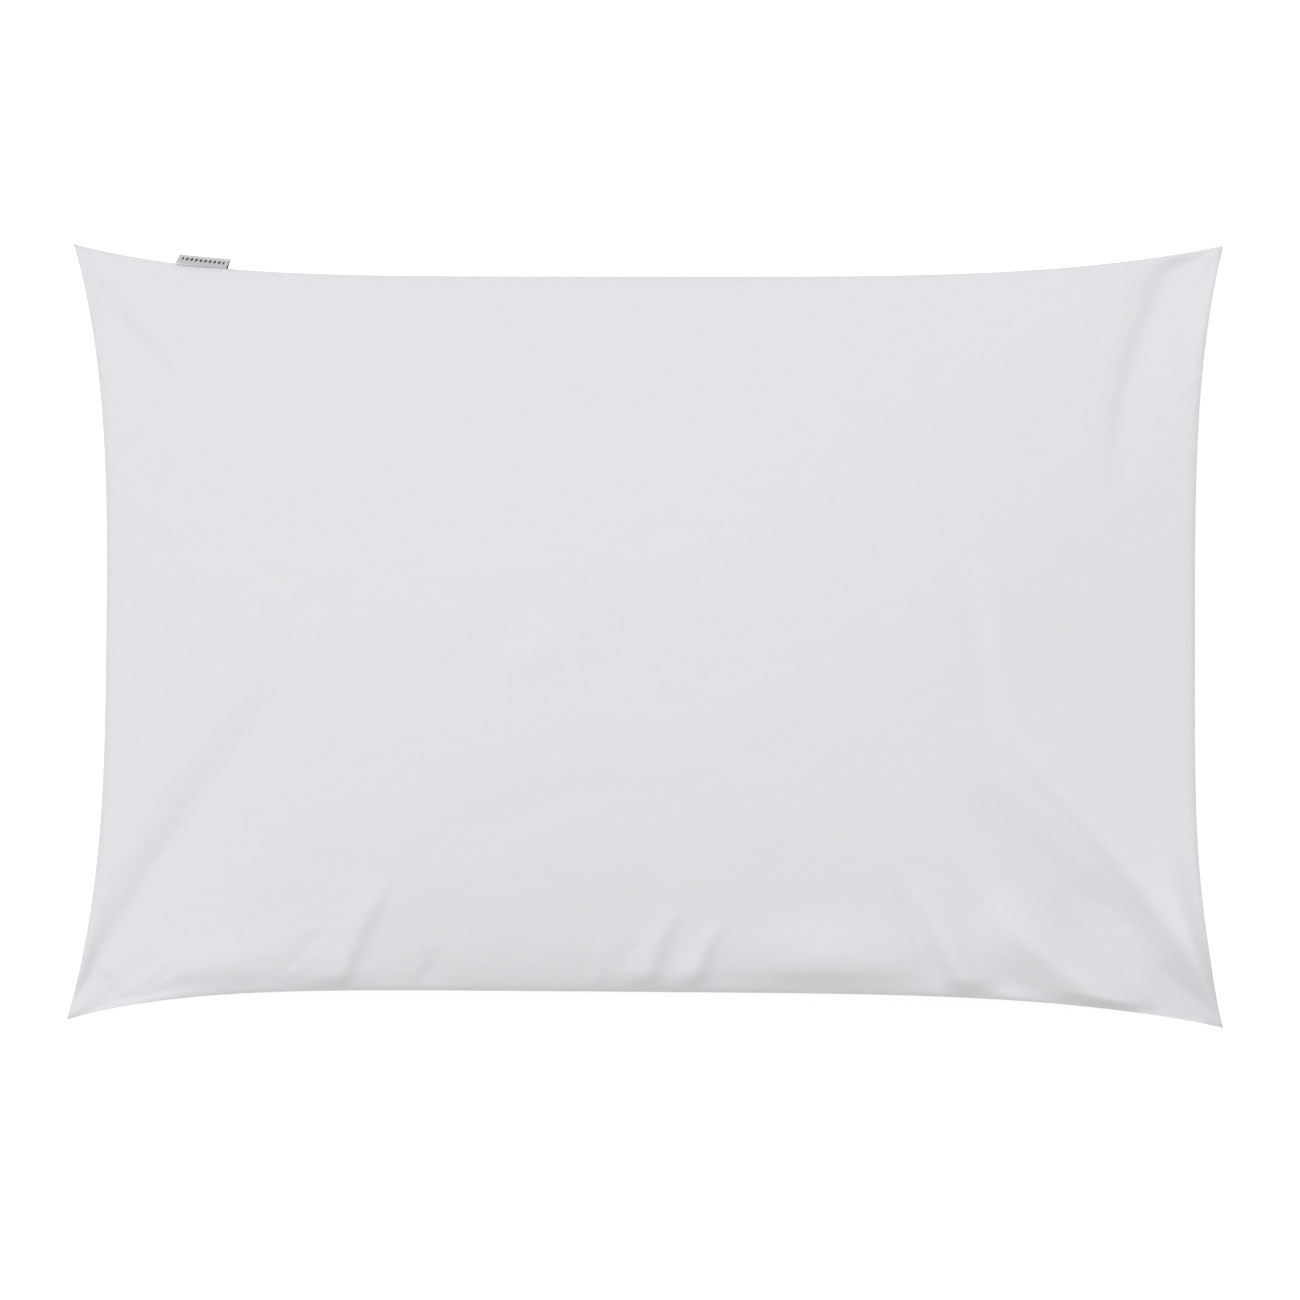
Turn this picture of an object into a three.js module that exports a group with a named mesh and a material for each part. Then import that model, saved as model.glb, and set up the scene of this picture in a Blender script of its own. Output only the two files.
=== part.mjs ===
// A pillow protector, filled with its pillow and lying on its back.
// Two rectangular panels of white cotton are sewn together round all four sides. The filling swells
// them into a crown, which draws the sides in between four pointed corners and puckers the long seams.
// A small grey woven label, folded double, is caught in the seam of the back side.
//
// Millimetres, +X along the length, +Y to the back, +Z up. The origin lies on the surface that the
// pillow rests on, under the middle of its outline.

import * as THREE from "three";

// Driving sizes.
const SEAM_HEIGHT = 54; // of the middle of each side, above the surface
const RISE = 56; // of the upper panel's crown, above the seam
const FULLNESS = { long: 2.3, short: 2 }; // how far the crown stays level to each side
const ROUNDNESS = { front: 0.6, back: 1.1, left: 1, right: 1 }; // 0.5 rounds it like an ellipse, 1 not at all
const FLANGE = 0.08; // keeps a rounded side from standing upright at the seam
const FLAT_SPOT = { long: 0.55, short: 0.4 }; // the share of the length and of the width that lies level
const UNDERSIDE = { long: 2, short: 1.9, roll: 0.58 }; // how gently the lower panel leaves its flat spot
const SEAM_THICKNESS = 2.4; // of the turned edges at the seam, four layers of cloth
const COLUMNS = 50; // faces along the length
const ROWS = 34; // and across the width
const CROWDING = 0.55; // how much closer the rows stand near the seam, from 0 to 1

// The corners of the seam, and how far each one hangs below the middle of the sides.
const CORNERS = {
  backLeft: { x: -362.4, y: 248.6, droop: 17 },
  backRight: { x: 366.8, y: 247.8, droop: 21 },
  frontLeft: { x: -366.8, y: -243, droop: 14 },
  frontRight: { x: 366.4, y: -248.6, droop: 23 },
};

// Each side is drawn in between its corners. A low power bends all along, a high one near the corner.
const SIDES = {
  back: { from: "backLeft", to: "backRight", drawnIn: 21.3, powerFrom: 4.6, powerTo: 3.7 },
  front: { from: "frontLeft", to: "frontRight", drawnIn: 21.2, powerFrom: 5.2, powerTo: 3.7 },
  left: { from: "frontLeft", to: "backLeft", drawnIn: 24.2, powerFrom: 3.0, powerTo: 3.1 },
  right: { from: "frontRight", to: "backRight", drawnIn: 19.8, powerFrom: 3.6, powerTo: 3.4 },
};

// The folds of the upper panel, each from where it starts to where it has died away. bow bends it to
// its left, left and right are its half widths on those hands, and a positive height is a ridge and a
// negative one a dip.
const FOLDS = [
  { name: "front right dip", from: [356, -247], to: [220, -78], bow: -8, left: 30, right: 14, height: -14 },
  { name: "front right ridge", from: [370, -236], to: [230, -70], bow: -8, left: 14, right: 26, height: 9 },
  { name: "front right slope", from: [334, -262], to: [212, -108], bow: -8, left: 26, right: 26, height: -6 },
  { name: "front right lip", from: [322, -248], to: [240, -196], bow: -8, left: 12, right: 14, height: 8 },
  { name: "front left dip", from: [-366, -236], to: [-214, -14], bow: 5, left: 18, right: 44, height: -9 },
  { name: "front left ridge", from: [-370, -212], to: [-226, -2], bow: 5, left: 30, right: 15, height: 2 },
  { name: "back right dip", from: [340, 242], to: [291, 70], bow: -8, left: 28, right: 12, height: -6 },
  { name: "back left dip", from: [-358, 226], to: [-278, 142], bow: 0, left: 11, right: 22, height: -4 },
  { name: "pucker 1", from: [-197, -228], to: [-160, -150], bow: 3, left: 16, right: 11, height: 6 },
  { name: "pucker 2", from: [-4, -228], to: [32, -150], bow: 5, left: 14, right: 11, height: 6 },
  { name: "pucker 3", from: [12, -228], to: [36, -172], bow: 3, left: 11, right: 11, height: -6 },
  { name: "pucker 4", from: [38, -228], to: [54, -172], bow: 2, left: 11, right: 11, height: -5 },
  { name: "pucker 5", from: [192, -232], to: [146, -142], bow: -3, left: 12, right: 12, height: -8 },
  { name: "pucker 6", from: [248, -236], to: [170, -134], bow: -6, left: 12, right: 12, height: -8 },
];
const FOLD_STEPS = 12; // points that a bowed fold is followed by
const FOLD_FADE = 10; // from the seam, within which the folds die away
const FOLD_SINK = { share: 0.7, corner: 20 }; // the deepest, as a share of the crown, and more at a corner
const SWELLS = [
  { name: "front, right of the middle", at: [118, -204], long: 54, short: 20, height: 7 },
  { name: "front, near the left corner", at: [-265, -208], long: 60, short: 16, height: 3 },
];

const LABEL = {
  seamAt: -0.7775, // where its middle is along the back side, from -1 to 1
  width: 32, // along the seam
  root: 1.2, // that lies level beside the seam, before the label turns up
  stand: 4.2, // from there to its fold
  tilt: THREE.MathUtils.degToRad(40), // up from level
  lean: 2.2, // of its fold, along the seam
  leaf: 0.8, // thickness of each of its two layers
  gap: 1.1, // between them
};
const CLEARANCE = 0.3; // between the label and the seam that holds it

const CLOTH = new THREE.MeshStandardMaterial({ color: 0xe6e7ea, roughness: 0.92, metalness: 0 });
const RIBBON = new THREE.MeshStandardMaterial({ color: 0xbfc0c3, roughness: 0.6, metalness: 0 });

const lerp = THREE.MathUtils.lerp;
const smoothstep = THREE.MathUtils.smoothstep;

// A point of one side of the seam, for t from -1 to 1.
function sidePoint({ from, to, drawnIn, powerFrom, powerTo }, t) {
  const a = new THREE.Vector2(CORNERS[from].x, CORNERS[from].y);
  const b = new THREE.Vector2(CORNERS[to].x, CORNERS[to].y);
  const inward = new THREE.Vector2(b.y - a.y, a.x - b.x).normalize();
  if (inward.dot(a) > 0) inward.negate();
  const depth = drawnIn * (1 - Math.abs(t) ** (t < 0 ? powerFrom : powerTo));
  return a.lerp(b, (1 + t) / 2).addScaledVector(inward, depth);
}

// A value that each corner gives, spread over the panel.
function betweenCorners(key, u, v) {
  const front = lerp(CORNERS.frontLeft[key], CORNERS.frontRight[key], (1 + u) / 2);
  const back = lerp(CORNERS.backLeft[key], CORNERS.backRight[key], (1 + u) / 2);
  return lerp(front, back, (1 + v) / 2);
}

// The place in plan of a point of the panels, for u and v from -1 to 1: a patch between the four sides.
function plan(u, v) {
  const front = sidePoint(SIDES.front, u);
  const back = sidePoint(SIDES.back, u);
  const left = sidePoint(SIDES.left, v);
  const right = sidePoint(SIDES.right, v);
  const across = front.lerp(back, (1 + v) / 2);
  const along = left.lerp(right, (1 + u) / 2);
  return new THREE.Vector2(
    across.x + along.x - betweenCorners("x", u, v),
    across.y + along.y - betweenCorners("y", u, v),
  );
}

// The height of the seam's level, which hangs towards the corners.
function seamLevel(u, v) {
  return SEAM_HEIGHT - betweenCorners("droop", u, v) * Math.abs(u * v) ** 3;
}

// The share of the full height that the filling gives, from 0 at the seam to 1 in the middle.
function swell(spread, power) {
  const atSeam = FLANGE ** power;
  return ((1 - spread + FLANGE) ** power - atSeam) / ((1 + FLANGE) ** power - atSeam);
}

// The height of the crown over the seam, before it is folded.
function crown(u, v) {
  const along = swell(Math.abs(u) ** FULLNESS.long, u < 0 ? ROUNDNESS.left : ROUNDNESS.right);
  const across = swell(Math.abs(v) ** FULLNESS.short, v < 0 ? ROUNDNESS.front : ROUNDNESS.back);
  return RISE * along * across;
}

// The height of the lower panel, which lies level on the surface in the middle and rises to the seam.
// It gives way where a fold of the upper panel reaches down to it.
function lowerHeight(u, v) {
  const pastU = Math.max(0, Math.abs(u) - FLAT_SPOT.long) / (1 - FLAT_SPOT.long);
  const pastV = Math.max(0, Math.abs(v) - FLAT_SPOT.short) / (1 - FLAT_SPOT.short);
  const level = ((1 - pastU ** UNDERSIDE.long) * (1 - pastV ** UNDERSIDE.short)) ** UNDERSIDE.roll;
  const resting = (seamLevel(u, v) - SEAM_THICKNESS / 2) * (1 - level);
  return THREE.MathUtils.clamp(upperHeight(u, v) - SEAM_THICKNESS, 0, resting);
}

// The line of each fold, bowed between its ends.
const foldLines = FOLDS.map(({ from, to, bow }) => {
  const start = new THREE.Vector2(...from);
  const end = new THREE.Vector2(...to);
  const run = end.clone().sub(start).normalize();
  const aside = new THREE.Vector2(-run.y, run.x).multiplyScalar(2 * bow);
  const middle = start.clone().lerp(end, 0.5).add(aside);
  return new THREE.QuadraticBezierCurve(start, middle, end).getPoints(FOLD_STEPS);
});

// How far a point in plan is from a fold's line, on which hand, and how far along that line, from 0 to 1.
function nearest(line, point) {
  let best = { distance: Infinity };
  for (let i = 0; i < line.length - 1; i++) {
    const run = line[i + 1].clone().sub(line[i]);
    const from = point.clone().sub(line[i]);
    const t = THREE.MathUtils.clamp(from.dot(run) / run.lengthSq(), 0, 1);
    const distance = from.distanceTo(run.clone().multiplyScalar(t));
    if (distance < best.distance) {
      best = { distance, hand: run.cross(from) > 0 ? "left" : "right", along: (i + t) / (line.length - 1) };
    }
  }
  return best;
}

// How far the folds and swells lift the upper panel at a point in plan.
function relief(point) {
  const folds = FOLDS.reduce((sum, fold, i) => {
    const { distance, hand, along } = nearest(foldLines[i], point);
    const half = fold[hand] * (1.15 - 0.7 * along);
    return sum + fold.height * (1 - along ** 1.6) * Math.exp(-((distance / half) ** 1.8));
  }, 0);
  return SWELLS.reduce((sum, { at, long, short, height }) => {
    return sum + height * Math.exp(-(((point.x - at[0]) / long) ** 2) - ((point.y - at[1]) / short) ** 2);
  }, folds);
}

// The height of the upper panel. A fold sinks no deeper than the filling there lets it, and near the
// corners, where there is little, it may sink below the seam.
function upperHeight(u, v) {
  const overSeam = crown(u, v);
  const { x: halfLength, y: halfWidth } = CORNERS.backRight;
  const fromSeam = Math.min((1 - Math.abs(u)) * halfLength, (1 - Math.abs(v)) * halfWidth);
  const deepest = FOLD_SINK.share * overSeam + FOLD_SINK.corner * (u * v) ** 4;
  const lift = relief(plan(u, v)) * smoothstep(fromSeam, 0, FOLD_FADE);
  return seamLevel(u, v) + SEAM_THICKNESS / 2 + overSeam + Math.max(lift, -deepest);
}

// The rows of faces stand closer together towards the seam, where the cloth turns most.
function crowded(t) {
  return lerp(t, Math.sin((t * Math.PI) / 2), CROWDING);
}

// The filled protector: a slab whose two large faces become the panels and whose rim is the seam.
function coverGeometry() {
  const slab = new THREE.BoxGeometry(2, 2, 2, COLUMNS, ROWS, 1);
  const position = slab.getAttribute("position");
  for (let i = 0; i < position.count; i++) {
    const u = crowded(position.getX(i));
    const v = crowded(position.getY(i));
    const place = plan(u, v);
    const height = position.getZ(i) > 0 ? upperHeight(u, v) : lowerHeight(u, v);
    position.setXYZ(i, place.x, place.y, height);
  }
  slab.computeVertexNormals();
  return slab;
}

// The line that the label's section follows, outwards (x) and up (y) from the seam.
function labelSpine() {
  const turn = new THREE.Vector2(LABEL.root, 0);
  const rise = new THREE.Vector2(Math.cos(LABEL.tilt), Math.sin(LABEL.tilt)).multiplyScalar(LABEL.stand);
  const tip = rise.add(turn);
  const start = new THREE.Vector2(0, 0);
  return new THREE.QuadraticBezierCurve(start, turn, tip).getPoints(6);
}

// The label's section: two leaves side by side, joined by the fold at their tip and open at the seam.
function labelSection() {
  const spine = labelSpine();
  const last = spine.length - 1;
  const offset = (i, distance) => {
    const run = spine[Math.min(i + 1, last)].clone().sub(spine[Math.max(i - 1, 0)]).normalize();
    if (i === 0) run.set(1, 0);
    return spine[i].clone().add(new THREE.Vector2(-run.y, run.x).multiplyScalar(distance));
  };
  const side = (distance) => spine.map((_, i) => offset(i, distance));
  const heading = Math.atan2(spine[last].y - spine[last - 1].y, spine[last].x - spine[last - 1].x);
  const fold = (radius) =>
    new THREE.Path()
      .absarc(spine[last].x, spine[last].y, radius, heading + Math.PI / 2, heading - Math.PI / 2, true)
      .getPoints(6)
      .slice(1, -1);
  const inner = LABEL.gap / 2;
  const outer = inner + LABEL.leaf;
  return new THREE.Shape([
    ...side(outer),
    ...fold(outer),
    ...side(-outer).reverse(),
    ...side(-inner),
    ...fold(inner).reverse(),
    ...side(inner).reverse(),
  ]);
}

function label() {
  const extent = { depth: LABEL.width, bevelEnabled: false, steps: 1 };
  const strip = new THREE.ExtrudeGeometry(labelSection(), extent);
  strip.translate(0, 0, -LABEL.width / 2);
  const reach = LABEL.root + LABEL.stand * Math.cos(LABEL.tilt);
  strip.applyMatrix4(new THREE.Matrix4().makeShear(0, LABEL.lean / reach, 0, 0, 0, 0));

  // It stands out from the back side of the seam, square to it there.
  const step = 0.01;
  const before = sidePoint(SIDES.back, LABEL.seamAt - step);
  const after = sidePoint(SIDES.back, LABEL.seamAt + step);
  const run = after.clone().sub(before).normalize();
  const along = new THREE.Vector3(run.x, run.y, 0);
  const outward = new THREE.Vector3(-run.y, run.x, 0);
  const up = new THREE.Vector3(0, 0, 1);
  const base = sidePoint(SIDES.back, LABEL.seamAt);
  const mesh = new THREE.Mesh(strip, RIBBON);
  mesh.name = "label";
  mesh.quaternion.setFromRotationMatrix(new THREE.Matrix4().makeBasis(outward, up, along));
  mesh.position
    .set(base.x, base.y, seamLevel(LABEL.seamAt, 1))
    .addScaledVector(outward, CLEARANCE);
  return mesh;
}

const cover = new THREE.Mesh(coverGeometry(), CLOTH);
cover.name = "cover";

const pillowProtector = new THREE.Group();
pillowProtector.add(cover, label());

export default pillowProtector;
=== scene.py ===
import math
import bpy
import numpy as np
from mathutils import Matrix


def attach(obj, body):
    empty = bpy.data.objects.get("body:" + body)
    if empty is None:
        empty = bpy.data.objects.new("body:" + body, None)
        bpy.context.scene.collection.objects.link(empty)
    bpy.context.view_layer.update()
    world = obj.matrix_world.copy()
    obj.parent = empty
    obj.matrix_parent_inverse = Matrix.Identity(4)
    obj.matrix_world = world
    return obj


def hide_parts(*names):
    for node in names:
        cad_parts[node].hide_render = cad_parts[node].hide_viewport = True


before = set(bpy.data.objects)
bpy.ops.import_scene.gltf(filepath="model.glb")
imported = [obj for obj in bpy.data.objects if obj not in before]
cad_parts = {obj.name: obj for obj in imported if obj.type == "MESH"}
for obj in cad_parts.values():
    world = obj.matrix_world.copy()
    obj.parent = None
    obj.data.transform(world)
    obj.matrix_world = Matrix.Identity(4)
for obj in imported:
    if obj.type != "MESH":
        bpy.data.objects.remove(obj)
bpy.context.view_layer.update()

# Cover: the two cotton panels, sewn together round all four sides and filled by the pillow. The
# filling swells them into a crown, draws the sides in between the corners and puckers the seams.
# u runs from -1 to 1 from the left end to the right one, and v from the front side to the back one.
CORNERS = {  # x and y of the seam's corners in mm, and how far each hangs below the middle of the sides
    "back left": (-362.4, 248.6, 17),
    "back right": (366.8, 247.8, 21),
    "front left": (-366.8, -243, 14),
    "front right": (366.4, -248.6, 23),
}
SIDES = {  # from one corner to the next, how far it is drawn in, and how late it bends at each end
    "back": ("back left", "back right", 21.3, 4.6, 3.7),
    "front": ("front left", "front right", 21.2, 5.2, 3.7),
    "left": ("front left", "back left", 24.2, 3.0, 3.1),
    "right": ("front right", "back right", 19.8, 3.6, 3.4),
}
seam_height, seam_thickness = 54, 1.6
rise = 56  # of the upper panel's crown over the seam
roundness = {"front": 0.6, "back": 1.1, "left": 1, "right": 1.15}  # 0.5 leaves the seam upright, 1 sloping
flat_spot_long, flat_spot_short = 0.55, 0.4
panel_long, panel_short = 0.75, 0.5  # each panel between its seams, laid flat, in metres
half_long, half_short = 345, 226  # of the drawn-in outline through its middle, in mm


def side_point(name, t):  # t runs from -1 to 1 between the two corners of a side
    start, end, drawn_in, early, late = SIDES[name]
    a, b = np.array(CORNERS[start][:2], float), np.array(CORNERS[end][:2], float)
    inward = np.array([b[1] - a[1], a[0] - b[0]]) / np.linalg.norm(b - a)
    inward = -inward if inward @ a > 0 else inward
    t = t[..., None]
    depth = drawn_in * (1 - np.abs(t) ** np.where(t < 0, early, late))
    return a + (b - a) * (1 + t) / 2 + inward * depth


def between_corners(k, u, v):  # k picks x, y or how far the corners hang
    front = CORNERS["front left"][k] + (CORNERS["front right"][k] - CORNERS["front left"][k]) * (1 + u) / 2
    back = CORNERS["back left"][k] + (CORNERS["back right"][k] - CORNERS["back left"][k]) * (1 + u) / 2
    return front + (back - front) * (1 + v) / 2


def plan(u, v):  # the panels seen from above, spread evenly between the four sides
    front, back = side_point("front", u), side_point("back", u)
    left, right = side_point("left", v), side_point("right", v)
    across = front + (back - front) * ((1 + v) / 2)[..., None]
    along = left + (right - left) * ((1 + u) / 2)[..., None]
    return across + along - np.stack([between_corners(0, u, v), between_corners(1, u, v)], -1)


def seam_level(u, v):
    lifted = 16 * np.exp(-(((1 - u) / 0.12) ** 2) - ((v + 0.8) / 0.19) ** 2)  # by the front right fold
    sunk = 7 * np.exp(-(((u - 0.93) / 0.08) ** 2) - ((v + 1) / 0.12) ** 2)  # by the dip beside it
    return seam_height - between_corners(2, u, v) * np.abs(u * v) ** 3 + lifted - sunk


def swell(spread, power, flange=0.08):  # 1 at the middle, 0 at the seam
    return ((1 - spread + flange) ** power - flange ** power) / ((1 + flange) ** power - flange ** power)


def upper_height(u, v):
    along = swell(np.abs(u) ** 2.3, np.where(u < 0, roundness["left"], roundness["right"]))
    across = swell(v ** 2, np.where(v < 0, roundness["front"], roundness["back"]))
    return seam_level(u, v) + rise * along * across


def lower_height(u, v):  # flat where the pillow lies, then rolling up to the seam
    past_u = np.maximum(0, np.abs(u) - flat_spot_long) / (1 - flat_spot_long)
    past_v = np.maximum(0, np.abs(v) - flat_spot_short) / (1 - flat_spot_short)
    level = ((1 - past_u ** 2) * (1 - past_v ** 1.9)) ** 0.58
    return (seam_level(u, v) - seam_thickness / 2) * (1 - level)


# Each fold says: from, to, bow to its left, half widths on its left and right, how near the long
# seams it fades, and its height, below 0 for a dip. It is highest where it starts and then dies away.
FOLDS = [
    ((364, -236), (212, -52), -10, 11, 30, 9, 12),  # front right corner
    ((344, -252), (202, -98), -6, 22, 25, 9, -18),
    ((204, 20), (222, -78), 0, 9, 9, 10, -1.5),
    ((212, 30), (228, -40), 0, 9, 9, 10, 1.5),
    ((-366, -236), (-214, -14), 5, 18, 44, 12, -8.5),  # front left corner
    ((-370, -212), (-226, -2), 5, 30, 15, 12, 2),
    ((338, 240), (292, 86), -8, 28, 10, 24, -6),  # back right corner
    ((-358, 226), (-278, 142), 0, 8, 22, 12, -4),  # back left corner
    ((-197, -228), (-160, -150), 3, 16, 8, 12, 6),  # front seam, from left to right
    ((-139, -226), (-131, -190), 0, 5, 7, 14, -3),
    ((-34, -226), (-26, -190), 0, 5, 9, 12, 2.5),
    ((-2, -230), (20, -172), 4, 12, 9, 14, 8),
    ((26, -230), (47, -180), 3, 11, 8, 14, 8),
    ((187, -230), (150, -150), -3, 9, 9, 20, -4),
    ((208, -236), (168, -158), -3, 12, 10, 13, 10),
    ((238, -240), (186, -140), -3, 12, 10, 12, -4),
    ((306, -237), (216, -164), 6, 16, 15, 11, 14),
    ((-124, -28), (-44, 46), 0, 13, 13, 10, -1.2),  # across the middle
    ((-73, -18), (-20, 24), 0, 13, 10, 10, 1),
    ((-29, -18), (36, 31), 0, 13, 13, 10, -1),
    ((-105, -123), (0, -92), 5, 13, 13, 10, -1.2),
]
SWELLS = [  # where, how far it reaches along and across, and its height
    ((118, -204), (54, 20), 7),
    ((234, -192), (28, 22), 5),
    ((-265, -208), (60, 16), 3),
    ((225, 20), (60, 50), 1.2),
    ((290, -182), (48, 24), -5),
]


def from_seams(u, v):  # how far from the nearer end and from the nearer long side, in mm
    return (1 - np.abs(u)) * half_long, (1 - np.abs(v)) * half_short


def eased(distance, over):
    part = np.clip(distance / over, 0, 1)
    return part * part * (3 - 2 * part)


def relief(place, from_end, from_long_side):  # what the folds and swells add to the upper panel
    lift = np.zeros(place.shape[:-1])
    pieces = 24  # straight ones that make up each bent fold
    for start, end, bow, half_left, half_right, fades, height in FOLDS:
        a, b = np.array(start, float), np.array(end, float)
        run = (b - a) / np.linalg.norm(b - a)
        middle = (a + b) / 2 + np.array([-run[1], run[0]]) * 2 * bow
        steps = np.linspace(0, 1, pieces + 1)[:, None]
        line = (1 - steps) ** 2 * a + 2 * steps * (1 - steps) * middle + steps * steps * b
        nearest = np.full(lift.shape, 1e9)
        along = np.zeros(lift.shape)
        left = np.zeros(lift.shape, bool)
        for number, (first, last) in enumerate(zip(line, line[1:])):
            heading, away = last - first, place - first
            part = np.clip((away @ heading) / (heading @ heading), 0, 1)
            distance = np.linalg.norm(away - part[..., None] * heading, axis=-1)
            closer = distance < nearest
            nearest = np.where(closer, distance, nearest)
            along = np.where(closer, (number + part) / pieces, along)
            left = np.where(closer, heading[0] * away[..., 1] > heading[1] * away[..., 0], left)
        half = np.where(left, half_left, half_right) * (1.15 - 0.7 * along)
        fade = eased(from_end, 20) * eased(from_long_side, fades)
        lift += height * (1 - along ** 1.6) * np.exp(-((nearest / half) ** 1.8)) * fade
    for centre, reach, height in SWELLS:
        away = place - centre
        lift += height * np.exp(-((away / reach) ** 2).sum(-1)) * eased(from_long_side, 16)
    return lift


def panels(columns, rows):
    u, v = np.meshgrid(np.linspace(-1, 1, columns + 1), np.linspace(-1, 1, rows + 1), indexing="ij")
    u = u * 0.6 + np.sin(u * np.pi / 2) * 0.4  # closer together near the seams
    v = v * 0.6 + np.sin(v * np.pi / 2) * 0.4
    place = plan(u, v)
    from_end, from_long_side = from_seams(u, v)
    from_seam = np.minimum(from_end, from_long_side)
    from_tips = [np.linalg.norm(place - np.array(corner[:2]), axis=-1) for corner in CORNERS.values()]
    from_tip = np.min(from_tips, axis=0)
    half_thickness = seam_thickness / 2 * np.clip(from_seam / 4, 0, 1)
    crown = upper_height(u, v)
    over_seam = crown - seam_level(u, v)
    most_sunk = over_seam * 0.6 + 22 * (u * v) ** 2 * eased(from_tip, 75)
    nearer = 1 + 4 * (u * v) ** 8
    above = relief(place, from_end * nearer, from_long_side * nearer) + most_sunk
    softness = 4 * np.clip(from_seam / 10, 0, 1)
    upper = crown + half_thickness - most_sunk + (above + np.sqrt(above * above + softness)) / 2
    filled = 0.5 + 0.02 * from_tip + 0.0032 * from_tip ** 2  # the tips hold hardly any filling
    slack = upper - filled - lower_height(u, v)
    taken_up = (slack + np.sqrt(slack * slack + 9)) / 2 * np.clip(from_seam / 12, 0, 1)
    lower = np.clip(lower_height(u, v) + taken_up, 0, upper - seam_thickness)
    top = np.concatenate([place, upper[..., None]], -1) / 1000
    under = np.concatenate([place, lower[..., None]], -1) / 1000
    return u, v, top, under


def sewn(top, under):  # both panels as one closed bag, with the rim halfway between them
    rim = np.ones(top.shape[:2], bool)
    rim[1:-1, 1:-1] = False
    upper_id = np.arange(top.shape[0] * top.shape[1]).reshape(top.shape[:2])
    lower_id = np.where(rim, upper_id, 0)
    lower_id[~rim] = upper_id.size + np.arange((~rim).sum())
    seam = (top + under) / 2
    points = np.concatenate([np.where(rim[..., None], seam, top).reshape(-1, 3), under[~rim]])
    faces = []
    for ids, order in ((upper_id, (0, 1, 2, 3)), (lower_id, (0, 3, 2, 1))):
        square = [ids[:-1, :-1].ravel(), ids[1:, :-1].ravel(), ids[1:, 1:].ravel(), ids[:-1, 1:].ravel()]
        faces.append(np.stack([square[corner] for corner in order], 1))
    return points, np.concatenate(faces), upper_id, lower_id


def uneven(grid, width):  # what is left once all that changes slowly along or across is taken away
    weights = np.exp(-0.5 * (np.arange(-3 * width, 3 * width + 1) / width) ** 2)
    weights /= weights.sum()
    for axis in (0, 1):
        pad = [(0, 0)] * 3
        pad[axis] = (3 * width, 3 * width)
        padded = np.pad(grid, pad, mode="reflect")
        size = grid.shape[axis]
        grid = grid - sum(w * np.take(padded, range(k, k + size), axis) for k, w in enumerate(weights))
    return grid


def settled(top, under, u, v, frames=14):  # how far each point moves under the filling's pressure
    points, faces, upper_id, lower_id = sewn(top, under)
    mesh = bpy.data.meshes.new("settling")
    mesh.from_pydata(points.tolist(), [], faces.tolist())
    bag = bpy.data.objects.new("settling", mesh)
    bpy.context.scene.collection.objects.link(bag)
    flat = points.copy()
    for ids, lift in ((upper_id, 0.0005), (lower_id, -0.0005)):
        flat[ids] = np.stack([u * panel_long / 2, v * panel_short / 2, np.full(u.shape, lift)], -1)
    bag.shape_key_add(name="Basis")
    cut = bag.shape_key_add(name="cut")
    cut.data.foreach_set("co", flat.ravel())
    cloth = bag.modifiers.new("Cloth", "CLOTH")
    cloth.settings.rest_shape_key = cut
    cloth.settings.quality = 6
    cloth.settings.mass = 0.2
    cloth.settings.tension_stiffness = 40
    cloth.settings.compression_stiffness = 10
    cloth.settings.shear_stiffness = 4
    cloth.settings.bending_stiffness = 0.5
    cloth.settings.air_damping = 3
    cloth.settings.use_pressure = True
    cloth.settings.uniform_pressure_force = 4
    cloth.settings.effector_weights.gravity = 0
    cloth.collision_settings.use_collision = False
    for number in range(1, frames + 1):
        bpy.context.scene.frame_set(number)
    moved = bag.evaluated_get(bpy.context.evaluated_depsgraph_get()).to_mesh()
    now = np.empty(len(points) * 3, np.float32)
    moved.vertices.foreach_get("co", now)
    bpy.data.objects.remove(bag)
    shift = now.reshape(-1, 3) - points
    return shift[upper_id], shift[lower_id]


def finer(grid):  # the same grid with a smooth point between each two
    for axis in (0, 1):
        known = np.moveaxis(grid, axis, 0)
        ends_added = np.concatenate([2 * known[:1] - known[1:2], known, 2 * known[-1:] - known[-2:-1]])
        between = (9 * (ends_added[1:-2] + ends_added[2:-1]) - ends_added[:-3] - ends_added[3:]) / 16
        woven = np.empty((2 * known.shape[0] - 1, *known.shape[1:]))
        woven[0::2] = known
        woven[1::2] = between
        grid = np.moveaxis(woven, 0, axis)
    return grid


def wrinkles(columns, rows, most=0.005):  # the fine part of the settling, which spares the long fold
    u, v, top, under = panels(columns // 2, rows // 2)
    share = 0.15 + 0.45 * np.exp(-(((1 + v) / 0.3) ** 2)) + 0.2 * (u * v) ** 4
    share = share * (1 - np.exp(-(((u - 0.85) / 0.3) ** 2) - ((v + 0.75) / 0.4) ** 2))
    shifts = []
    for shift in settled(top, under, u, v):
        fine = uneven(shift, 8) * share[..., None]
        size = np.linalg.norm(fine, axis=-1, keepdims=True)
        fine *= np.minimum(1, most / np.maximum(size, 1e-9))
        shifts.append(finer(fine))
    return shifts


columns, rows = 264, 176
u, v, top, under = panels(columns, rows)
upper_shift, lower_shift = wrinkles(columns, rows)
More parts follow.
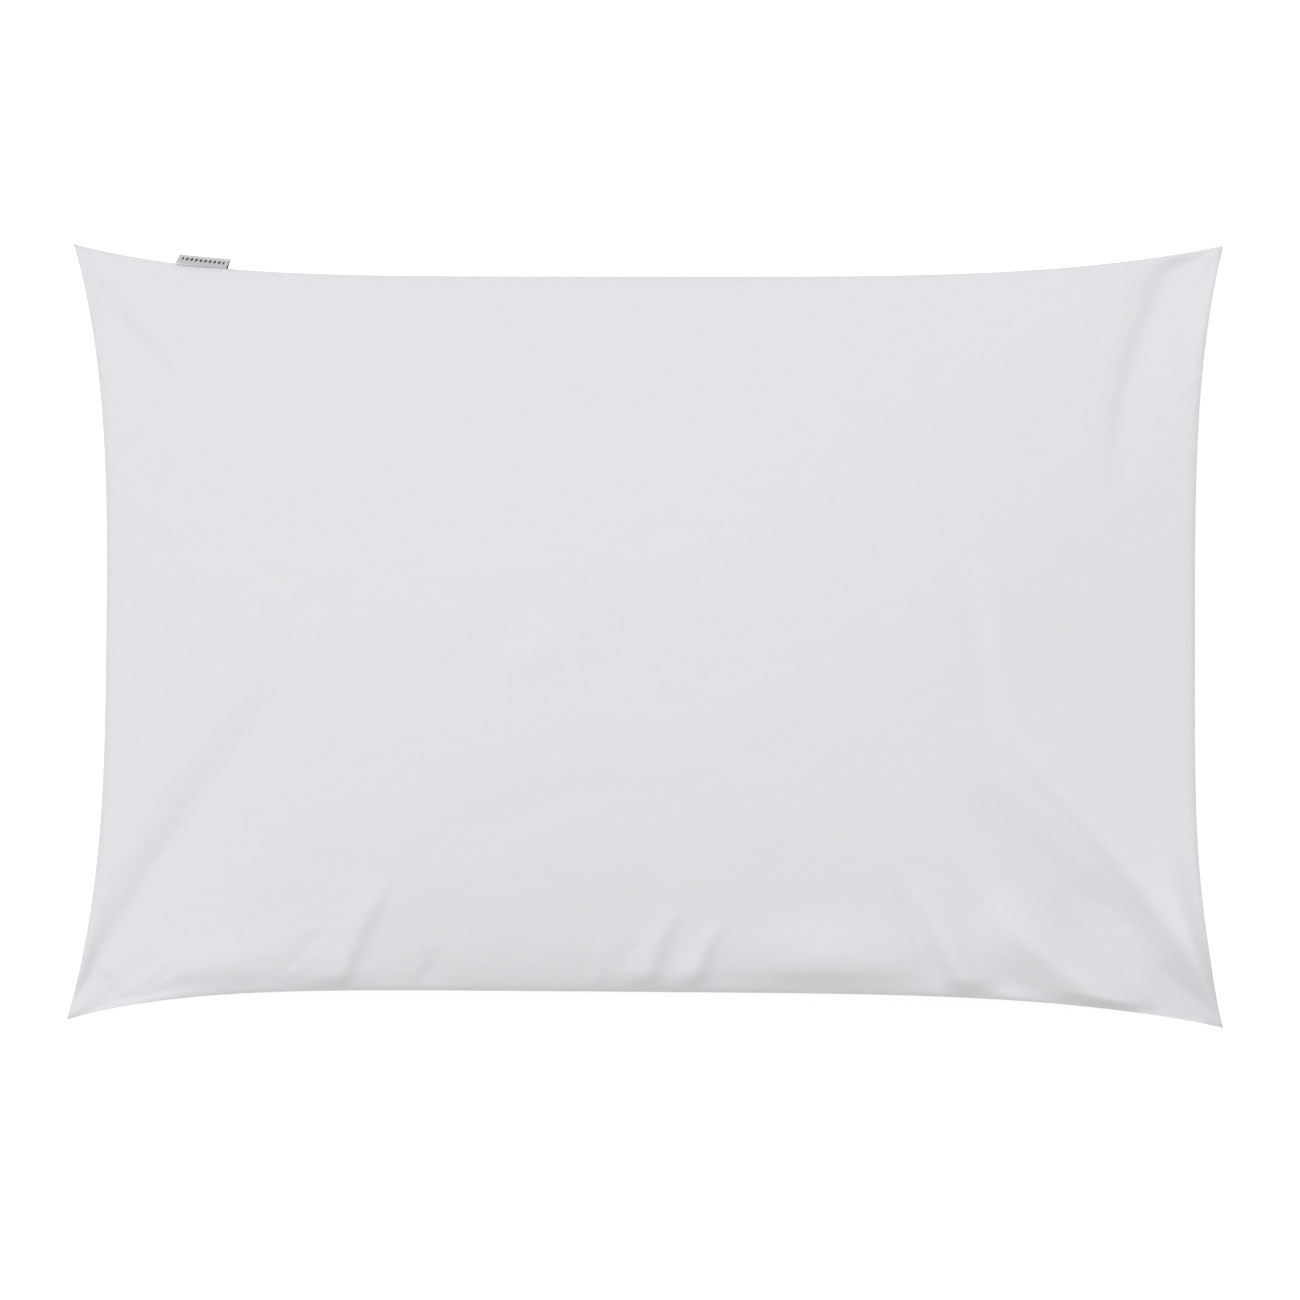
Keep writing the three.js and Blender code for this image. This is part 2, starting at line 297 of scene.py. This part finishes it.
# The seam itself stays where it is.
rim_fade = np.clip(np.minimum((1 - np.abs(u)) / 0.05, (1 - np.abs(v)) / 0.07), 0, 1)[..., None]
top = top + upper_shift * rim_fade
under = under + lower_shift * rim_fade
under[..., 2] = np.maximum(under[..., 2], 0.0002)  # just clear of what the pillow lies on
points, faces, upper_id, lower_id = sewn(top, under)
mesh = bpy.data.meshes.new("cover")
mesh.from_pydata(points.tolist(), [], faces.tolist())
mesh.shade_smooth()
seam_edges = mesh.attributes.new("sharp_edge", "BOOLEAN", "EDGE")
ends = np.empty(len(mesh.edges) * 2, int)
mesh.edges.foreach_get("vertices", ends)
on_rim = np.zeros(len(points), bool)
on_rim[np.concatenate([upper_id[0], upper_id[-1], upper_id[:, 0], upper_id[:, -1]])] = True
seam_edges.data.foreach_set("value", on_rim[ends].reshape(-1, 2).all(1))
cover = bpy.data.objects.new("filled_cover", mesh)
bpy.context.scene.collection.objects.link(cover)
on_cloth = np.empty((len(points), 3))  # where each point lies on its panel and how far from the seam
from_edge = np.minimum((1 - np.abs(u)) * panel_long, (1 - np.abs(v)) * panel_short) * 500
for ids in (lower_id, upper_id):
    on_cloth[ids] = np.stack([u * panel_long * 500, v * panel_short * 500, from_edge], -1)
mesh.attributes.new("on_cloth", "FLOAT_VECTOR", "POINT").data.foreach_set("vector", on_cloth.ravel())

cotton = bpy.data.materials.new("cotton percale")
cotton.use_nodes = True
nodes, links = cotton.node_tree.nodes, cotton.node_tree.links
shader = nodes["Principled BSDF"]
shader.inputs["Specular IOR Level"].default_value = 0.2
shader.inputs["Sheen Weight"].default_value = 0.12
shader.inputs["Sheen Roughness"].default_value = 0.5


def work(operation, a, b=None, c=None):  # one sum for the material or the room being made
    node = nodes.new("ShaderNodeMath")
    node.operation = operation
    for socket, value in zip(node.inputs, (a, b, c)):
        if isinstance(value, bpy.types.NodeSocket):
            links.new(value, socket)
        elif value is not None:
            socket.default_value = value
    return node.outputs[0]


cloth_place = nodes.new("ShaderNodeAttribute")
cloth_place.attribute_name = "on_cloth"
cloth_axes = nodes.new("ShaderNodeSeparateXYZ")
links.new(cloth_place.outputs["Vector"], cloth_axes.inputs[0])
along, across, from_stitches = cloth_axes.outputs


def uneven_cloth(stretch_along, stretch_across, size, detail, seed):  # blotches or slubs
    patch = nodes.new("ShaderNodeCombineXYZ")
    links.new(work("DIVIDE", along, stretch_along * size), patch.inputs[0])
    links.new(work("DIVIDE", across, stretch_across * size), patch.inputs[1])
    patch.inputs[2].default_value = seed
    noise = nodes.new("ShaderNodeTexNoise")
    noise.inputs["Scale"].default_value = 1
    noise.inputs["Detail"].default_value = detail
    links.new(patch.outputs[0], noise.inputs["Vector"])
    return noise.outputs["Fac"]


thread_pitch, stitch_length = 0.35, 3  # in mm
turn_along = work("MULTIPLY", along, math.pi / thread_pitch)
turn_across = work("MULTIPLY", across, math.pi / thread_pitch)
wave_along = work("SINE", turn_along)
wave_across = work("SINE", turn_across)
over = work("MULTIPLY", wave_along, wave_across)  # 1 where the warp passes over, -1 where the weft does
warp = work("MULTIPLY", work("ABSOLUTE", wave_along), work("MULTIPLY_ADD", over, 0.4, 0.6))
weft = work("MULTIPLY", work("ABSOLUTE", wave_across), work("MULTIPLY_ADD", over, -0.4, 0.6))
weave = work("MAXIMUM", warp, weft)
warp_slubs = uneven_cloth(1, 40, 0.8, 2, 0)
weft_slubs = uneven_cloth(40, 1, 0.8, 2, 7)
slubs = work("SMOOTH_MAX", warp_slubs, weft_slubs, 0.05)
crumple = uneven_cloth(1.4, 1, 26, 3, 3)
gathers = uneven_cloth(1, 1, 7, 2, 5)
near_seam = work("EXPONENT", work("MULTIPLY", from_stitches, -0.16))
stitches = work("SINE", work("MULTIPLY", work("ADD", along, across), math.tau / stitch_length))
stitch_pull = work("MULTIPLY", stitches, near_seam)
blotches = uneven_cloth(1, 1, 90, 2, 11)

# How far each of them stands up, in mm.
height = work("MULTIPLY", weave, 0.05)
height = work("MULTIPLY_ADD", slubs, 0.12, height)
height = work("MULTIPLY_ADD", crumple, 1.3, height)
height = work("MULTIPLY_ADD", work("MULTIPLY", work("SUBTRACT", gathers, 0.5), near_seam), 1.2, height)
height = work("MULTIPLY_ADD", stitch_pull, 0.06, height)
bump = nodes.new("ShaderNodeBump")
bump.inputs["Strength"].default_value = 1
bump.inputs["Distance"].default_value = 0.001
links.new(height, bump.inputs["Height"])
links.new(bump.outputs[0], shader.inputs["Normal"])

shade = work("MULTIPLY_ADD", slubs, 0.05, 0.952)
shade = work("MULTIPLY_ADD", weave, 0.03, shade)
shade = work("MULTIPLY_ADD", blotches, 0.05, shade)
white = nodes.new("ShaderNodeMix")
white.data_type = "RGBA"
white.inputs["A"].default_value = (0, 0, 0, 1)
white.inputs["B"].default_value = (0.787, 0.797, 0.817, 1)
links.new(shade, white.inputs["Factor"])
links.new(white.outputs["Result"], shader.inputs["Base Color"])
links.new(work("MULTIPLY_ADD", slubs, 0.2, 0.78), shader.inputs["Roughness"])
mesh.materials.append(cotton)
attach(cover, "root")
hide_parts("cover")

# Label: a grey satin ribbon folded double and caught in the seam of the back side near its left end.
# It stands out of the seam and leans to the right. A row of small lozenges is woven into its face, and the
# faces inside the fold carry painted shade.
label_at = -0.7775  # from -1 at the left end of the back side to 1 at its right end
back_side = 729  # from end to end, in mm
label_width, label_root, label_stand = 31.8, 1.2, 5.1  # the root is the part that bends up
label_gap, ribbon_thickness = 1.3, 0.42
label_tilt = math.radians(40)
label_lean = 2.2  # to the right for each 5 mm that it stands out
leaf_points, fold_points = 25, 15
side_before = side_point("back", np.array(label_at - 0.01))
side_after = side_point("back", np.array(label_at + 0.01))
seam_run = (side_after - side_before) / np.linalg.norm(side_after - side_before)
label_out = np.array([-seam_run[1], seam_run[0]])
label_level = float(seam_level(np.array(label_at), np.array(1.0)))


def ribbon_line(across):  # out of the seam along the upper leaf, round the fold, back along the lower
    bend = 1 - math.cos(label_tilt)
    line = []
    for t in np.linspace(0, 1, leaf_points):
        foot = min(t * 2, 1)
        stand = max(t * 2 - 1, 0)
        turn = foot * foot * label_tilt
        out = label_root * foot * (1 - bend * foot / 3) + label_stand * stand * math.cos(label_tilt)
        up = label_root * 0.5 * math.sin(turn) * foot + label_stand * stand * math.sin(label_tilt)
        line.append((out, up, turn))
    apart = label_gap / 2 * (1 + 0.35 * across)
    widening = np.linspace(0.55, 1, leaf_points)
    upper = [(x - math.sin(a) * apart * w, z + math.cos(a) * apart * w, a + math.pi / 2)
             for (x, z, a), w in zip(line, widening)]
    lower = [(x + math.sin(a) * apart * w, z - math.cos(a) * apart * w, a - math.pi / 2)
             for (x, z, a), w in zip(line, widening)]
    x, z, a = line[-1]
    fold = [(x + math.cos(b) * apart, z + math.sin(b) * apart, b)
            for b in np.linspace(a + math.pi / 2, a - math.pi / 2, fold_points)[1:-1]]
    return upper + fold + lower[::-1]


ribbon_columns = 61
ribbon_points, ribbon_faces, on_ribbon = [], [], []
for column in range(ribbon_columns):
    across = column / (ribbon_columns - 1) * 2 - 1
    line = ribbon_line(across)
    for side in (0.5, -0.5):
        run_length, last = 0, None
        for x, z, facing in line:
            run_length += math.dist((x, z), last) if last else 0
            last = (x, z)
            selvedge = 1 - 0.35 * max(0, abs(across) - 0.965) / 0.035
            px = x + math.cos(facing) * ribbon_thickness * side * selvedge
            pz = z + math.sin(facing) * ribbon_thickness * side * selvedge
            lower_leaf = max(0, -(math.sin(facing))) * max(0, across) ** 6
            along_seam = across * label_width / 2 + label_lean * x / 5 + 1.2 * lower_leaf * (1 - x / 6.5)
            foot = side_point("back", np.array(label_at + across * label_width / back_side))
            place = foot + seam_run * (along_seam - across * label_width / 2) + label_out * (px + 0.05)
            ribbon_points.append((place[0] / 1000, place[1] / 1000, (label_level + pz) / 1000))
            on_ribbon.append((across * label_width / 2, run_length, side))
ring = len(ribbon_line(0))
for column in range(ribbon_columns - 1):
    for row in range(ring - 1):
        a = column * ring * 2 + row
        b = a + ring * 2
        ribbon_faces.append((a, a + 1, b + 1, b))
        ribbon_faces.append((a + ring, b + ring, b + ring + 1, a + ring + 1))
    for row in (0, ring - 1):
        a = column * ring * 2 + row
        b = a + ring * 2
        ends = (a, b, b + ring, a + ring)
        ribbon_faces.append(ends if row == 0 else ends[::-1])
for column in (0, ribbon_columns - 1):
    for row in range(ring - 1):
        a = column * ring * 2 + row
        ends = (a, a + ring, a + ring + 1, a + 1)
        ribbon_faces.append(ends if column == 0 else ends[::-1])
ribbon_mesh = bpy.data.meshes.new("label")
ribbon_mesh.from_pydata(ribbon_points, [], ribbon_faces)
ribbon_mesh.shade_smooth()
ribbon_mesh.set_sharp_from_angle(angle=math.radians(40))
ribbon_place = ribbon_mesh.attributes.new("on_ribbon", "FLOAT_VECTOR", "POINT")
ribbon_place.data.foreach_set("vector", np.array(on_ribbon).ravel())
label = bpy.data.objects.new("folded_label", ribbon_mesh)
bpy.context.scene.collection.objects.link(label)

satin = bpy.data.materials.new("satin ribbon")
satin.use_nodes = True
nodes, links = satin.node_tree.nodes, satin.node_tree.links
shader = nodes["Principled BSDF"]
shader.inputs["Roughness"].default_value = 0.45
shader.inputs["Specular IOR Level"].default_value = 0.4
shader.inputs["Sheen Weight"].default_value = 0.2
ribbon_on = nodes.new("ShaderNodeAttribute")
ribbon_on.attribute_name = "on_ribbon"
ribbon_axes = nodes.new("ShaderNodeSeparateXYZ")
links.new(ribbon_on.outputs["Vector"], ribbon_axes.inputs[0])
ribbon_across, ribbon_along, ribbon_side = ribbon_axes.outputs
cord_pitch, grain_pitch = 0.3, 0.22
lozenges_up, lozenge_half, lozenge_pitch, lozenge_slimness, row_half = 4.4, 1.5, 2.9, 2.8, 13.4
cord = work("ABSOLUTE", work("SINE", work("MULTIPLY", ribbon_along, math.pi / cord_pitch)))
grain = work("ABSOLUTE", work("SINE", work("MULTIPLY", ribbon_across, math.pi / grain_pitch)))
lozenge_row = work("MULTIPLY", work("SUBTRACT", ribbon_along, lozenges_up), 1 / lozenge_half)
lozenge_step = work("SUBTRACT", work("FRACT", work("MULTIPLY", ribbon_across, 1 / lozenge_pitch)), 0.5)
lozenge_reach = work("ABSOLUTE", work("MULTIPLY", lozenge_step, lozenge_slimness))
lozenge_size = work("ADD", work("ABSOLUTE", lozenge_row), lozenge_reach)
in_row = work("LESS_THAN", work("ABSOLUTE", ribbon_across), row_half)
woven_in = work("MULTIPLY", work("LESS_THAN", lozenge_size, 1), in_row)
ribbon_bump = nodes.new("ShaderNodeBump")
ribbon_bump.inputs["Distance"].default_value = 0.00004
ribbon_height = work("ADD", work("MULTIPLY", cord, 0.6), work("MULTIPLY_ADD", woven_in, 0.8, grain))
links.new(ribbon_height, ribbon_bump.inputs["Height"])
links.new(ribbon_bump.outputs[0], shader.inputs["Normal"])
ribbon_shade = work("MULTIPLY_ADD", cord, 0.1, 0.9)
# Painted shade: the faces inside the fold, between the two leaves, are darkened almost to black to stand
# in for the shade in the gap there. The lozenges are the label's own woven pattern.
painted_shade_inside_fold = work("LESS_THAN", ribbon_side, 0)
lozenges_and_painted_shade = nodes.new("ShaderNodeMix")
lozenges_and_painted_shade.data_type = "RGBA"
lozenges_and_painted_shade.inputs["A"].default_value = (0.69, 0.695, 0.71, 1)
lozenges_and_painted_shade.inputs["B"].default_value = (0.05, 0.05, 0.055, 1)
links.new(work("MAXIMUM", woven_in, work("MULTIPLY", painted_shade_inside_fold, 0.85)), lozenges_and_painted_shade.inputs["Factor"])
ribbon_colour = nodes.new("ShaderNodeMix")
ribbon_colour.data_type = "RGBA"
ribbon_colour.inputs["A"].default_value = (0, 0, 0, 1)
links.new(ribbon_shade, ribbon_colour.inputs["Factor"])
links.new(lozenges_and_painted_shade.outputs["Result"], ribbon_colour.inputs["B"])
links.new(ribbon_colour.outputs["Result"], shader.inputs["Base Color"])
ribbon_mesh.materials.append(satin)
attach(label, "root")
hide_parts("label")

# Floor: a plain white table, which isn't part of the pillow protector.
bpy.ops.mesh.primitive_plane_add(size=12, location=(0, 0, 0))
floor = bpy.context.object
floor.name = "floor"
table = bpy.data.materials.new("table")
table.use_nodes = True
shader = table.node_tree.nodes["Principled BSDF"]
shader.inputs["Base Color"].default_value = (0.9, 0.9, 0.9, 1)
shader.inputs["Roughness"].default_value = 0.9
shader.inputs["Emission Color"].default_value = (1, 1, 1, 1)
shader.inputs["Emission Strength"].default_value = 0.45
floor.data.materials.append(table)
floor.visible_diffuse = False

# Light: an even white room with a large soft light above the back of the pillow.
world = bpy.data.worlds.new("room")
world.use_nodes = True
nodes, links = world.node_tree.nodes, world.node_tree.links
way = nodes.new("ShaderNodeTexCoord")
split = nodes.new("ShaderNodeSeparateXYZ")
brightness = nodes.new("ShaderNodeMapRange")
brightness.inputs["From Min"].default_value = -0.15
brightness.inputs["From Max"].default_value = 0.15
brightness.inputs["To Min"].default_value = 0.5
brightness.inputs["To Max"].default_value = 0.77
links.new(way.outputs["Generated"], split.inputs[0])
links.new(split.outputs["Z"], brightness.inputs["Value"])
brighter_left = work("MULTIPLY_ADD", split.outputs["X"], -0.07, 1)
links.new(work("MULTIPLY", brightness.outputs[0], brighter_left), nodes["Background"].inputs["Strength"])
nodes["Background"].inputs["Color"].default_value = (1, 1, 1, 1)
bpy.context.scene.world = world
light = bpy.data.lights.new("soft light", "SUN")
light.energy = 0.77
light.angle = math.radians(30)
soft_light = bpy.data.objects.new("soft_light", light)
soft_light.location = (-0.34, 0.94, 1.65)
soft_light.rotation_euler = soft_light.location.to_track_quat("Z", "Y").to_euler()
bpy.context.scene.collection.objects.link(soft_light)

# Camera: straight above, looking down on the pillow from a little in front of its middle.
seam_plane, distance, field = 0.048, 4.0, 0.8216  # field is what it takes in at the seam, in metres
lens = bpy.data.cameras.new("camera")
lens.sensor_width = 36
lens.lens = lens.sensor_width * distance / field
camera = bpy.data.objects.new("camera", lens)
camera.location = (0.0028, -0.0088, seam_plane + distance)
bpy.context.scene.collection.objects.link(camera)
bpy.context.scene.camera = camera
bpy.context.scene.view_settings.view_transform = "Standard"
bpy.context.scene.view_settings.look = "None"
